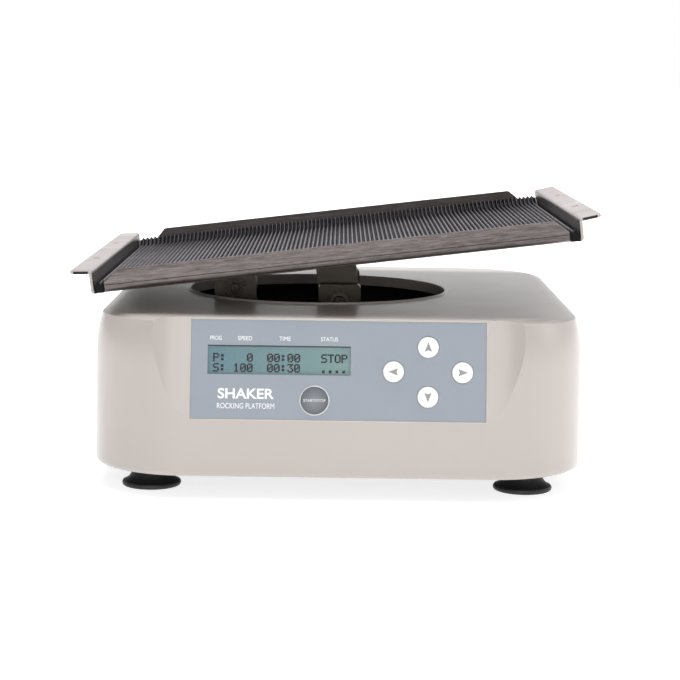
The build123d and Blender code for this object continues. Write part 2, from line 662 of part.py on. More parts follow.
def make_motor():
    """Motor can with a stepped rear end bell and two terminals."""
    can = bar_y(MOTOR_R, GEARBOX_BACK, MOTOR_BACK)
    can = fillet(can.edges().sort_by(Axis.Y)[-1], 2.0)
    can += bar_y(5.5, MOTOR_BACK, MOTOR_BACK + 3)
    for side in (-1, 1):
        can += box((side * 11 - 1.5, side * 11 + 1.5), (MOTOR_BACK - 1, MOTOR_BACK + 6), (-0.3, 0.3))
    return Pos(CRANK_X, 0, CRANK_Z) * can


def make_gearbox_screws():
    """Six screws through the bracket into the gearbox."""
    return [
        pan_screw_y(x, z, BRACKET_FRONT, 2.7, 0.7, 1.5, 10.0) for x, z in GEARBOX_SCREWS
    ]


def make_bracket_screws():
    """Two screws up through the base plate into the bracket's foot."""
    return [pan_screw_z(x, y, BOTTOM_Z, 3.6, 2.4, 2.0, 6.5) for x, y in BRACKET_SCREWS]


# ---------------------------------------------------------------- tray
def flange_frame():
    """Frame of the right flange: X outwards along its slope, origin at the top of the wall."""
    return Pos(TRAY_HALF_W, 0, TRAY_RISE + SIDE_H) * Rot(0, -FLANGE_SLOPE, 0)


def make_tray():
    """Folded sheet tray: floor, front and back lips with slanting ends, and side walls with flanges."""
    low, high = TRAY_RISE, TRAY_RISE + SHEET
    inner_w, inner_d = TRAY_HALF_W - 3.0, TRAY_HALF_D - LIP_BEND
    tray = box((-inner_w, inner_w), (-inner_d, inner_d), (low, high))
    wall = extrude(Plane.XZ.offset(TRAY_HALF_D - 0.5) * side_section(), amount=-2 * TRAY_HALF_D + 1)
    flange_ends = wall.edges().filter_by(lambda edge: edge.length < 2).group_by(Axis.X)[-1]
    wall = fillet(flange_ends, 4.0)
    for y in (-FLANGE_HOLE_Y, FLANGE_HOLE_Y):
        wall -= flange_frame() * bar_z(FLANGE_HOLE_R, -5, 5, FLANGE_HOLE_OUT, y)
    tray += wall
    tray += Rot(0, 0, 180) * wall
    tray += make_lip(*FRONT_LIP)
    tray += Rot(0, 0, 180) * make_lip(*BACK_LIP)
    tray = Pos(TRAY_X, 0, 0) * tray
    for x, y in HUB_SCREWS + LUG_SCREWS:
        tray -= Pos(x, y, TRAY_RISE + SHEET / 2) * Cone(1.62, 3.05, SHEET + 0.002)
    return PLATFORM * tray


def side_section():
    """Section of the right-hand wall: round bend, upright wall and outward flange that slopes up."""
    x, low, top = TRAY_HALF_W, TRAY_RISE, TRAY_RISE + SIDE_H
    slope = math.radians(FLANGE_SLOPE)
    run, rise = FLANGE_W * math.cos(slope), FLANGE_W * math.sin(slope)
    outline = Polyline(
        (x - 3, low), (x, low), (x, top - SHEET), (x + run, top + rise - SHEET),
        (x + run, top + rise), (x - SHEET, top), (x - SHEET, low + SHEET), (x - 3, low + SHEET),
        close=True,
    )
    face = make_face(outline)
    for point, radius in (((x, low), 2.0), ((x - SHEET, top), 2.0), ((x, top - SHEET), 0.5)):
        vertex = face.vertices().sort_by_distance((point[0], point[1], 0))[0]
        face = fillet(vertex, radius)
    return face


def make_lip(half_bottom, half_top, height):
    """One lip with its round bend; its ends are square at the bend, then slant inwards."""
    front, low, top = -TRAY_HALF_D, TRAY_RISE, TRAY_RISE + height
    bend, inner = LIP_BEND, LIP_BEND - SHEET
    half = math.sqrt(0.5)
    section = make_face(
        [
            Line((front + bend, low), (front + bend, low + SHEET)),
            ThreePointArc(
                (front + bend, low + SHEET),
                (front + bend - inner * half, low + bend - inner * half),
                (front + SHEET, low + bend),
            ),
            Line((front + SHEET, low + bend), (front + SHEET, top)),
            Line((front + SHEET, top), (front, top)),
            Line((front, top), (front, low + bend)),
            ThreePointArc(
                (front, low + bend),
                (front + bend - bend * half, low + bend - bend * half),
                (front + bend, low),
            ),
        ]
    )
    strip = extrude(Plane.YZ * section, half_bottom, both=True)
    square = low + LIP_SQUARE
    ends = make_face(
        Polyline(
            (-half_bottom, low - 1), (half_bottom, low - 1), (half_bottom, square),
            (half_top, top), (-half_top, top), (-half_bottom, square), close=True,
        )
    )
    for side in (-1, 1):
        vertex = ends.vertices().sort_by_distance((side * half_top, top, 0))[0]
        ends = fillet(vertex, 3.0)
    keep = extrude(Plane.XZ.offset(TRAY_HALF_D + 1) * ends, amount=-LIP_BEND - 2)
    return strip & keep


def make_mat():
    """Rubber mat on the tray's floor; it turns up along the back lip."""
    low = TRAY_RISE + SHEET
    back = TRAY_HALF_D - SHEET - 0.2
    front = LIP_BEND + 0.2 - TRAY_HALF_D
    radius, thick = MAT_CURL_R, MAT_T
    half = math.sqrt(0.5)
    section = make_face(
        [
            Line((front, low), (back - radius, low)),
            ThreePointArc(
                (back - radius, low),
                (back - radius + radius * half, low + radius - radius * half),
                (back, low + radius),
            ),
            Line((back, low + radius), (back, low + radius + 0.2)),
            Line((back, low + radius + 0.2), (back - thick, low + radius + 0.2)),
            ThreePointArc(
                (back - thick, low + radius + 0.2),
                (back - radius + (radius - thick) * half, low + radius - (radius - thick) * half),
                (back - radius, low + thick),
            ),
            Line((back - radius, low + thick), (front, low + thick)),
            Line((front, low + thick), (front, low)),
        ]
    )
    width = TRAY_HALF_W - SHEET - 0.3
    mat = extrude(Plane.YZ * section, width, both=True)
    return PLATFORM * Pos(TRAY_X, 0, 0) * mat


# ---------------------------------------------------------------- write the pieces
PIECES = {
    "top_cover": make_top_cover(),
    "base_plate": make_base_plate(),
    "foot_screws": make_foot_screws(),
    "foot_nuts": make_foot_nuts(),
    "cover_screws": make_cover_screws(),
    "panel_overlay": make_panel_overlay(),
    "lcd_window": display_block(1.0, -1.4, -POCKET - 0.02),
    "lcd_glass": display_block(1.0, -3.6, -1.6),
    "lcd_board": make_lcd_board(),
    "keypad_board": make_keypad_board(),
    "tact_switches": make_tact_switches(),
    "panel_standoffs": make_panel_standoffs(),
    "power_inlet": make_power_inlet(),
    "inlet_screws": make_inlet_screws(),
    "switch_frame": make_switch_frame(),
    "switch_rocker": make_switch_rocker(),
    "rating_plate": box((-84, -24), (HALF_DEPTH, HALF_DEPTH + 0.4), (32, 60)),
    "controller_board": make_controller_board(),
    "board_spacers": make_board_spacers(),
    "power_supply": make_power_supply(),
    "bearing_post_front": make_post(POST_FRONT_Y),
    "bearing_post_rear": make_post(POST_REAR_Y),
    "post_screws": make_post_screws(),
    "bearing_front": ball_bearing(BEARING_R, SHAFT_R + RUNNING, POST_FRONT_Y, 0, PIVOT_Z),
    "bearing_rear": ball_bearing(
        BEARING_R, SHAFT_R + RUNNING, POST_REAR_Y + POST_T - BEARING_W, 0, PIVOT_Z
    ),
    "motor_bracket": make_motor_bracket(),
    "bracket_screws": make_bracket_screws(),
    "gearbox": make_gearbox(),
    "gearbox_screws": make_gearbox_screws(),
    "motor": make_motor(),
    "output_shaft": make_output_shaft(),
    "crank_disc": make_crank_disc(),
    "connecting_rod": make_connecting_rod(),
    "small_end_bearing": make_rod_bearing(0),
    "big_end_bearing": make_rod_bearing(ROD_LENGTH),
    "crank_pin": make_crank_pin(),
    "rocker_shaft": make_rocker_shaft(),
    "shaft_rings": make_shaft_rings(),
    "hub_bracket": make_hub_bracket(),
    "rod_lug": make_rod_lug(),
    "wrist_pin": make_wrist_pin(),
    "tray_screws": make_tray_screws(),
    "tray": make_tray(),
    "ribbed_mat": make_mat(),
}
for name, (x, v, radius) in KEYS.items():
    PIECES[name] = make_key(x, v, radius)
FOOT_NAMES = ("foot_front_left", "foot_rear_left", "foot_front_right", "foot_rear_right")
for name, (sx, sy) in zip(FOOT_NAMES, FOUR_CORNERS):
    PIECES[name] = Pos(sx * FOOT_X, sy * FOOT_Y, 0) * make_foot()

os.makedirs("parts", exist_ok=True)
for name, piece in PIECES.items():
    shape = Compound(children=piece) if isinstance(piece, list) else piece
    export_step(shape, f"parts/{name}.step")
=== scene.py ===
"""Studio view of the rocking platform shaker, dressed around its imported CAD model."""

import json
import math

import bpy
from mathutils import Matrix, Vector


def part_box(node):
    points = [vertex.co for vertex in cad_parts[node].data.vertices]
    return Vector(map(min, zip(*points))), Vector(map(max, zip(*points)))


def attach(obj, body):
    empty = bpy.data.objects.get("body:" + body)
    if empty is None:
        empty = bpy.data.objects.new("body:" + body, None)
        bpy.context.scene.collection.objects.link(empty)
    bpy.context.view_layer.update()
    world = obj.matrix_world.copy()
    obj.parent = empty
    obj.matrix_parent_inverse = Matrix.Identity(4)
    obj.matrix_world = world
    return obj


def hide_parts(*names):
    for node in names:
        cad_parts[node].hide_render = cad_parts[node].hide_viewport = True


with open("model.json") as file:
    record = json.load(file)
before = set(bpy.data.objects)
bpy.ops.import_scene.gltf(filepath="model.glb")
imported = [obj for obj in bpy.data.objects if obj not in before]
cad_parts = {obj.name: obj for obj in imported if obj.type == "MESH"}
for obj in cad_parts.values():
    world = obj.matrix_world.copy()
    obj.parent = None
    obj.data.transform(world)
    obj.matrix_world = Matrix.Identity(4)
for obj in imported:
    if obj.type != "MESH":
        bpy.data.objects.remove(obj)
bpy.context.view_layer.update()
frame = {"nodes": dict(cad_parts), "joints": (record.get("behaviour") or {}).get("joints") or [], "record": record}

MM = 0.001
NODES = frame["nodes"]
MOUNTS = {mount["name"]: mount for mount in frame["record"]["mounts"]}
JOINTS = {joint["name"]: joint for joint in frame["joints"]}

# ribbed mat
RIB_PITCH = 2.7 * MM
RIB_HEIGHT = 2.1 * MM
RIB_SAMPLES = (0.0, 0.12, 0.3, 0.42, 0.5, 0.58, 0.7, 0.88)
CURL_RADIUS, CURL_TURN = 18 * MM, 45.0
NOTCH_WIDE, NOTCH_RISE, NOTCH_DROP = 5.4 * MM, 5.6 * MM, 1.3 * MM
# strip in front of the back lip over which painted shade dims the rib tops' painted highlight
SHADED_BACK_STRIP = 110 * MM

# the tray: its lips' ends and its walls' inner faces inside the flanges' edges, and the lips' depth, which bound
# the painted reflection and shade
LIP_INSIDE, WALL_INSIDE, LIP_DEEP = 13.5 * MM, 12.45 * MM, 4.4 * MM
FLANGE_WIDE = 10.5 * MM
# height of the painted shade line above the lips' bend, its half width, and the strip of painted highlight along
# the lower edge
BEND_UP, BEND_LINE, LOWER_EDGE = 4.3 * MM, 0.22 * MM, 0.9 * MM

# the housing's inside, coloured near black as painted shade: its corner radius, the gap to the outer face, and
# where the shoulder's curve starts, how tall it is and how far it leans in; the ceiling and the front end
INSIDE_CORNER, INSIDE_GAP = 50.6 * MM, 1.4 * MM
SHOULDER_START, SHOULDER_TALL, SHOULDER_LEAN = 75 * MM, 22 * MM, 4.5 * MM
INSIDE_CEILING, INSIDE_FRONT = 93.4 * MM, -140 * MM

# display: 20 x 2 characters of 5 x 7 dots
CHARACTER_PITCH, ROW_PITCH = 3.68 * MM, 5.6 * MM
DOT_CELLS = 4
CELL_WIDE, CELL_HIGH = 0.155 * MM, 0.165 * MM
FIRST_ROW_DROP = 4.4 * MM
DISPLAY_ROWS = ("P:   0  00:00   STOP", "S: 100  00:30   ....")
GLYPHS = {
    "P": ("1111.", "1...1", "1...1", "1111.", "1....", "1....", "1...."),
    "S": (".1111", "1....", "1....", ".111.", "....1", "....1", "1111."),
    "T": ("11111", "..1..", "..1..", "..1..", "..1..", "..1..", "..1.."),
    "O": (".111.", "1...1", "1...1", "1...1", "1...1", "1...1", ".111."),
    "0": (".111.", "1...1", "1..11", "1.1.1", "11..1", "1...1", ".111."),
    "1": ("..1..", ".11..", "..1..", "..1..", "..1..", "..1..", ".111."),
    "3": ("11111", "...1.", "..1..", "...1.", "....1", "1...1", ".111."),
    ":": (".....", ".11..", ".11..", ".....", ".11..", ".11..", "....."),
    ".": (".....", ".....", ".....", ".....", ".....", ".11..", ".11.."),
}

# print on the panel: words and their middle, measured from the display's left edge
LABELS = {"PROG": 4.4 * MM, "SPEED": 20.4 * MM, "TIME": 42.4 * MM, "STATUS": 66.9 * MM}
LABEL_HIGH, LABEL_ABOVE, LETTER_WIDE = 2.3 * MM, 3.8 * MM, 1.56 * MM
TITLE_MIDDLE, TITLE_DROP, TITLE_HIGH, TITLE_WIDE = 21.3 * MM, 10.6 * MM, 5.8 * MM, 31.0 * MM
SUBTITLE_DROP, SUBTITLE_HIGH, SUBTITLE_WIDE = 17.4 * MM, 3.0 * MM, 31.5 * MM
INK = 0.03 * MM
BORDER_WIDE, BORDER_HIGH = 0.85 * MM, 0.3 * MM
ARROW_LONG, ARROW_WIDE = 5.2 * MM, 4.0 * MM
START_RIM = 0.55 * MM
KEY_COLLAR = 1.2 * MM
START_WORDS_HIGH, START_WORDS_WIDE = 1.5 * MM, 12.2 * MM

# power switch: its parked tilt, and the marks' place on the rocker's hollow face
SWITCH_TILT, SWITCH_FACE, SWITCH_MARK_UP, SWITCH_HOLLOW = 7.0, 1.95 * MM, 4.4 * MM, 0.3
ON_BAR_WIDE, ON_BAR_LONG = 0.8 * MM, 3.2 * MM
OFF_RING_INNER, OFF_RING_OUTER = 1.0 * MM, 1.6 * MM

# studio
SURROUND_SLANT = 0.4

# camera
CAMERA_PLACE = Vector((0.0006, -1.2112, 0.236))
CAMERA_PITCH, CAMERA_ROLL = 7.91, 0.80
FOCAL_PIXELS, FRAME_PIXELS, SENSOR = 1954.0, 680.0, 36.0


# ---------------------------------------------------------------- frames of the tilted parts
def axes_frame(origin, x_axis, z_axis):
    """A frame with the given origin, X and Z axes."""
    x = Vector(x_axis).normalized()
    z = Vector(z_axis).normalized()
    y = z.cross(x)
    frame_matrix = Matrix((x, y, z)).transposed().to_4x4()
    frame_matrix.translation = origin
    return frame_matrix


def tray_frame():
    """Frame on the mat's top, in the middle of the tray, with Z out of the tray."""
    mount = MOUNTS["tray_mat"]
    up = Vector(mount["axis"])
    return axes_frame(Vector(mount["pos_m"]), Vector((0, 1, 0)).cross(up), up)


def panel_frame():
    """Frame in the middle of the panel film, with Y up the slope and Z out of the panel."""
    low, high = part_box("panel_overlay")
    out = -Vector(JOINTS["key_up_press"]["axis"])
    return axes_frame((low + high) / 2, (1, 0, 0), out)


TRAY = tray_frame()
PANEL = panel_frame()


def extent(node, local):
    """Lowest and highest coordinates of a CAD node's mesh in a frame."""
    to_local = local.inverted()
    points = [to_local @ vertex.co for vertex in NODES[node].data.vertices]
    low = Vector([min(p[i] for p in points) for i in range(3)])
    high = Vector([max(p[i] for p in points) for i in range(3)])
    return low, high


# ---------------------------------------------------------------- material helpers
class Look:
    """A node material being put together."""

    def __init__(self, name, **values):
        self.material = bpy.data.materials.new(name)
        self.material.use_nodes = True
        self.tree = self.material.node_tree
        self.shader = self.tree.nodes["Principled BSDF"]
        for socket, value in values.items():
            self.shader.inputs[socket.replace("_", " ")].default_value = value
        coordinates = self.tree.nodes.new("ShaderNodeTexCoord")
        self.place = coordinates.outputs["Object"]

    def node(self, kind, **inputs):
        """Adds a node and sets or links its inputs."""
        added = self.tree.nodes.new(kind)
        for name, value in inputs.items():
            self.feed(added.inputs[name.replace("_", " ")], value)
        return added

    def feed(self, socket, value):
        """Links or sets one input."""
        if isinstance(value, bpy.types.NodeSocket):
            self.tree.links.new(value, socket)
        else:
            socket.default_value = value

    def stretched(self, scale):
        """Object coordinates scaled along each axis, for streaks."""
        mapping = self.node("ShaderNodeMapping", Vector=self.place)
        mapping.inputs["Scale"].default_value = scale
        return mapping.outputs["Vector"]

    def noise(self, scale, detail=3.0, where=None, roughness=0.55):
        """A noise value between about 0.3 and 0.7."""
        return self.node(
            "ShaderNodeTexNoise", Vector=where or self.place, Scale=scale, Detail=detail, Roughness=roughness
        ).outputs["Fac"]

    def ramp(self, value, low, high, start=0.3, end=0.7):
        """A number or colour that goes from low to high with the value."""
        ramp = self.node("ShaderNodeValToRGB", Fac=value)
        for element, position, level in zip(ramp.color_ramp.elements, (start, end), (low, high)):
            element.position = position
            element.color = (*level, 1) if isinstance(level, tuple) else (level, level, level, 1)
        return ramp.outputs["Color"]

    def maths(self, operation, first, second=0.0):
        """The result of one arithmetic step."""
        step = self.tree.nodes.new("ShaderNodeMath")
        step.operation = operation
        self.feed(step.inputs[0], first)
        self.feed(step.inputs[1], second)
        return step.outputs[0]

    def blend(self, factor, low, high):
        """A colour between two colours or sockets."""
        mix = self.tree.nodes.new("ShaderNodeMix")
        mix.data_type = "RGBA"
        self.feed(mix.inputs["Factor"], factor)
        for name, level in (("A", low), ("B", high)):
            self.feed(mix.inputs[name], (*level, 1) if isinstance(level, tuple) else level)
        return mix.outputs["Result"]

    def local(self, placement):
        """X, Y and Z in the frame of a tilted part."""
        mapping = self.node("ShaderNodeMapping", Vector=self.place)
        inverse = placement.inverted()
        mapping.inputs["Location"].default_value = inverse.translation
        mapping.inputs["Rotation"].default_value = inverse.to_euler()
        return self.node("ShaderNodeSeparateXYZ", Vector=mapping.outputs["Vector"]).outputs

    def colour(self, value):
        self.feed(self.shader.inputs["Base Color"], value)

    def roughness(self, value):
        self.feed(self.shader.inputs["Roughness"], value)

    def bump(self, height, strength, distance):
        """Adds a bump, on top of any earlier one."""
        earlier = self.shader.inputs["Normal"].links
        bump = self.node("ShaderNodeBump", Height=height, Strength=strength, Distance=distance)
        if earlier:
            self.feed(bump.inputs["Normal"], earlier[0].from_socket)
        self.feed(self.shader.inputs["Normal"], bump.outputs["Normal"])


def shade(colour, factor):
    """A colour made lighter or darker."""
    return tuple(min(channel * factor, 1.0) for channel in colour)


# ---------------------------------------------------------------- materials
def moulded_plastic(name, colour, rough, grain=0.05, coat=0.0):
    """Moulded plastic with a fine grain and slightly uneven gloss."""
    look = Look(name, Coat_Weight=coat, Coat_Roughness=0.2)
    look.colour(look.ramp(look.noise(14, 4), shade(colour, 0.97), shade(colour, 1.03)))
    look.roughness(look.ramp(look.noise(60, 5), rough * 0.88, rough * 1.12))
    look.bump(look.noise(2600, 2), grain, 0.0001)
    return look.material


def housing_plastic():
    """Warm light grey moulding, with painted shade on its inside: the inner faces are coloured near black."""
    colour, black = (0.462, 0.419, 0.394), (0.02, 0.021, 0.022)
    look = Look("housing_plastic", Coat_Weight=0.36, Coat_Roughness=0.2)
    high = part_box("base_plate")[1]
    split = look.node("ShaderNodeSeparateXYZ", Vector=look.place).outputs
    past_x = look.maths("SUBTRACT", look.maths("ABSOLUTE", split["X"]), high.x - INSIDE_CORNER)
    past_y = look.maths("SUBTRACT", look.maths("ABSOLUTE", split["Y"]), high.y - INSIDE_CORNER)
    squares = [look.maths("POWER", look.maths("MAXIMUM", past), 2.0) for past in (past_x, past_y)]
    reach = look.maths("SQRT", look.maths("ADD", *squares))
    lean = look.maths("DIVIDE", look.maths("SUBTRACT", split["Z"], SHOULDER_START), SHOULDER_TALL)
    lean = look.maths("POWER", look.maths("MAXIMUM", lean), 2.0)
    reach = look.maths("ADD", reach, look.maths("MULTIPLY", lean, SHOULDER_LEAN))
    # mask of the inner faces that take the near-black painted shade
    inside = look.maths("LESS_THAN", reach, INSIDE_CORNER + INSIDE_GAP)
    inside = look.maths("MULTIPLY", inside, look.maths("LESS_THAN", split["Z"], INSIDE_CEILING))
    inside = look.maths("MULTIPLY", inside, look.maths("GREATER_THAN", split["Y"], INSIDE_FRONT))
    cloudy = look.ramp(look.noise(6, 2), shade(colour, 0.99), shade(colour, 1.01))
    look.colour(look.blend(inside, cloudy, black))
    look.roughness(look.ramp(look.noise(40, 2), 0.31, 0.35))
    look.bump(look.noise(2600, 2), 0.02, 0.0001)
    return look.material


def brushed_metal(name, colour, rough, along, spread=0.1):
    """Brushed sheet: long fine streaks in colour, gloss and relief."""
    look = Look(name, Metallic=1.0)
    scale = {"x": (12, 900, 900), "y": (900, 12, 900), "z": (900, 900, 12)}[along]
    streaks = look.noise(1.0, 4, look.stretched(scale))
    cloudy = look.noise(18, 3)
    mixed = look.maths("MULTIPLY", look.maths("ADD", streaks, cloudy), 0.5)
    look.colour(look.ramp(mixed, shade(colour, 1 - spread), shade(colour, 1 + spread)))
    look.roughness(look.ramp(streaks, rough * 0.8, rough * 1.25))
    look.bump(streaks, 0.12, 0.00008)
    return look.material


def tray_steel():
    """Brushed sheet with streaks along the lips; painted reflection and shade by region: darker speckled lips, a
    fine dark line above each lip's round bend, a lighter lower edge, a darker back lip, near-black inner wall
    faces and flange ends, darker side ends and a dark underside.
    """
    look = Look("tray_steel", Metallic=1.0)
    low, high = extent("tray", TRAY)
    local = look.local(TRAY)
    combined = look.node("ShaderNodeCombineXYZ", X=local["X"], Y=local["Y"], Z=local["Z"]).outputs[0]
    mapping = look.node("ShaderNodeMapping", Vector=combined)
    mapping.inputs["Scale"].default_value = (9, 700, 700)
    streaks = look.noise(1.0, 5, mapping.outputs["Vector"], 0.7)
    short = look.node("ShaderNodeMapping", Vector=combined)
    short.inputs["Scale"].default_value = (110, 1300, 1300)
    speckle = look.noise(1.0, 4, short.outputs["Vector"], 0.75)
    broad = look.node("ShaderNodeMapping", Vector=combined)
    broad.inputs["Scale"].default_value = (4, 90, 90)
    bands = look.noise(1.0, 3, broad.outputs["Vector"])
    mixed = look.maths("MULTIPLY", look.maths("ADD", streaks, bands), 0.5)
    steel = look.ramp(mixed, (0.36, 0.33, 0.322), (0.60, 0.555, 0.545), 0.36, 0.64)
    # painted reflection: the lips' outer faces take a darker, speckled steel
    speckled = look.maths("MULTIPLY", look.maths("ADD", mixed, speckle), 0.5)
    painted_shading = look.ramp(speckled, (0.055, 0.047, 0.046), (0.19, 0.168, 0.165), 0.38, 0.64)
    # painted shade: a fine dark line above each lip's round bend
    line = look.maths("ABSOLUTE", look.maths("SUBTRACT", local["Z"], low.z + BEND_UP))
    on_line = look.maths("LESS_THAN", line, BEND_LINE)
    painted_shading = look.blend(on_line, painted_shading, (0.04, 0.035, 0.033))
    # painted highlight: a lighter strip along the lips' lower edge
    painted_edge_highlight = look.maths("LESS_THAN", local["Z"], low.z + LOWER_EDGE)
    painted_shading = look.blend(painted_edge_highlight, painted_shading, (0.42, 0.39, 0.37))
    # mask of the lips' outer faces, where the darker painted reflection goes
    across = look.maths("ABSOLUTE", look.maths("SUBTRACT", local["X"], (low.x + high.x) / 2))
    between = look.maths("LESS_THAN", across, (high.x - low.x) / 2 - LIP_INSIDE)
    face = look.maths("ABSOLUTE", look.maths("SUBTRACT", local["Y"], (low.y + high.y) / 2))
    outer = look.maths("GREATER_THAN", face, (high.y - low.y) / 2 - LIP_DEEP)
    behind = look.maths("GREATER_THAN", local["Y"], (low.y + high.y) / 2)
    # painted shade: the back lip is darker still
    painted_shading = look.blend(look.maths("MULTIPLY", behind, 0.55), painted_shading, (0.012, 0.01, 0.01))
    steel = look.blend(look.maths("MULTIPLY", between, outer), steel, painted_shading)
    # painted reflection: the side walls' inner faces are made near black
    inner_wall = look.maths("SUBTRACT", across, (high.x - low.x) / 2 - WALL_INSIDE)
    on_wall = look.maths("LESS_THAN", look.maths("ABSOLUTE", inner_wall), 0.4 * MM)
    steel = look.blend(look.maths("MULTIPLY", on_wall, 0.85), steel, (0.05, 0.043, 0.04))
    # painted shade: the sheet ends are darker at the sides, and near black at the flanges
    sheet_end = look.maths("GREATER_THAN", face, (high.y - low.y) / 2 - 0.9 * MM)
    at_side = look.maths("GREATER_THAN", across, (high.x - low.x) / 2 - LIP_INSIDE)
    at_flange = look.maths("GREATER_THAN", across, (high.x - low.x) / 2 - FLANGE_WIDE)
    steel = look.blend(look.maths("MULTIPLY", sheet_end, at_side), steel, (0.3, 0.275, 0.26))
    steel = look.blend(look.maths("MULTIPLY", sheet_end, at_flange), steel, (0.03, 0.026, 0.025))
    # painted shade: the underside is coloured dark brown
    underneath = look.maths("LESS_THAN", local["Z"], low.z + 0.2 * MM)
    look.colour(look.blend(underneath, steel, (0.06, 0.05, 0.045)))
    look.roughness(look.ramp(streaks, 0.3, 0.44))
    look.bump(streaks, 0.16, 0.00008)
    return look.material


def rubber(name, colour, rough=0.55, gloss=0.5):
    """Rubber with a dusty, slightly uneven face."""
    look = Look(name, Specular_IOR_Level=gloss)
    look.colour(look.ramp(look.noise(45, 5), shade(colour, 0.75), shade(colour, 1.35)))
    look.roughness(look.ramp(look.noise(120, 4), rough * 0.85, rough * 1.15))
    look.bump(look.noise(1500, 3), 0.15, 0.0001)
    return look.material


def mat_rubber():
    """Near-black ribbed rubber, with a painted highlight on the ribs' tops that dims as painted shade towards the
    back lip.
    """
    look = Look("mat_rubber", Specular_IOR_Level=0.16)
    local = look.local(TRAY)
    low, high = extent("ribbed_mat", TRAY)
    start = (low.x + high.x - int((high.x - low.x) / RIB_PITCH) * RIB_PITCH) / 2
    # painted highlight: the rib tops are coloured lighter than the near-black grooves
    along = look.maths("PINGPONG", look.maths("SUBTRACT", local["X"], start), RIB_PITCH / 2)
    crest = look.maths("DIVIDE", along, RIB_PITCH / 2)
    # painted shade: the rib tops dim over a strip in front of the back lip
    back = high.y
    forward = look.node("ShaderNodeMapRange", Value=local["Y"], From_Min=back, From_Max=back - SHADED_BACK_STRIP)
    painted_shading = look.ramp(forward.outputs["Result"], 0.72, 1.0, 0.1, 1.0)
    painted_crest_highlight = look.maths("MULTIPLY", crest, look.maths("MULTIPLY", painted_shading, look.ramp(look.noise(60, 4), 0.8, 1.0)))
    look.colour(look.ramp(painted_crest_highlight, (0.002, 0.002, 0.0025), (0.24, 0.215, 0.25), 0.42, 1.0))
    look.roughness(look.ramp(look.noise(150, 3), 0.4, 0.52))
    look.bump(look.noise(1500, 3), 0.1, 0.0001)
    return look.material


def satin_film(name, colour, rough=0.38):
    """Printed film with a fine satin texture."""
    look = Look(name)
    look.colour(look.ramp(look.noise(25, 3), shade(colour, 0.985), shade(colour, 1.015)))
    look.roughness(look.ramp(look.noise(90, 4), rough * 0.9, rough * 1.1))
    look.bump(look.noise(4000, 1), 0.06, 0.00005)
    return look.material


def display_glass():
    """Green-blue liquid crystal face, lighter towards its left end."""
    look = Look("display_glass", Roughness=0.3)
    low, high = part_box("lcd_glass")
    across = look.node("ShaderNodeSeparateXYZ", Vector=look.place).outputs["X"]
    spread = look.node("ShaderNodeMapRange", Value=across, From_Min=low.x, From_Max=high.x)
    tint = look.ramp(spread.outputs["Result"], (0.09, 0.195, 0.235), (0.15, 0.27, 0.265), 0.1, 0.9)
    look.colour(tint)
    look.bump(look.noise(700, 2), 0.03, 0.00005)
    return look.material


def clear_window():
    """Clear acrylic: nearly all of what lies behind it shows."""
    look = Look("clear_window", Alpha=0.02)
    look.colour(look.ramp(look.noise(40, 3), (0.1, 0.11, 0.11), (0.14, 0.15, 0.15)))
    look.roughness(look.ramp(look.noise(40, 3), 0.05, 0.1))
    return look.material


def ink(name, colour, rough=0.45):
    """Screen-printed ink, a little uneven."""
    look = Look(name)
    look.colour(look.ramp(look.noise(300, 3), shade(colour, 0.94), shade(colour, 1.04)))
    look.roughness(look.ramp(look.noise(500, 2), rough * 0.9, rough * 1.1))
    return look.material


def bearing_steel():
    """Dark steel whose rings differ a little, with turned marks."""
    look = Look("bearing_steel", Metallic=1.0)
    marks = look.noise(700, 3)
    look.colour(look.ramp(marks, (0.014, 0.012, 0.01), (0.075, 0.066, 0.056)))
    look.roughness(look.ramp(marks, 0.38, 0.5))
    return look.material


def circuit_board():
    """Green solder mask with darker tracks."""
    look = Look("circuit_board", Coat_Weight=0.4)
    tracks = look.node("ShaderNodeTexVoronoi", Vector=look.place, Scale=260.0).outputs["Distance"]
    look.colour(look.ramp(tracks, (0.02, 0.12, 0.05), (0.04, 0.2, 0.08), 0.1, 0.5))
    look.roughness(look.ramp(look.noise(200, 3), 0.3, 0.5))
    return look.material


def key_grey():
    """Grey key face, lighter in the middle."""
    look = Look("key_grey")
    centre = Vector(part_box("key_start")[0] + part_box("key_start")[1]) / 2
    offset = look.node("ShaderNodeVectorMath", Vector=look.place)
    offset.operation = "DISTANCE"
    offset.inputs[1].default_value = centre
    look.colour(look.ramp(offset.outputs["Value"], (0.245, 0.275, 0.31), (0.085, 0.095, 0.11), 0.0, 0.0078))
    look.roughness(look.ramp(look.noise(300, 3), 0.3, 0.45))
    return look.material


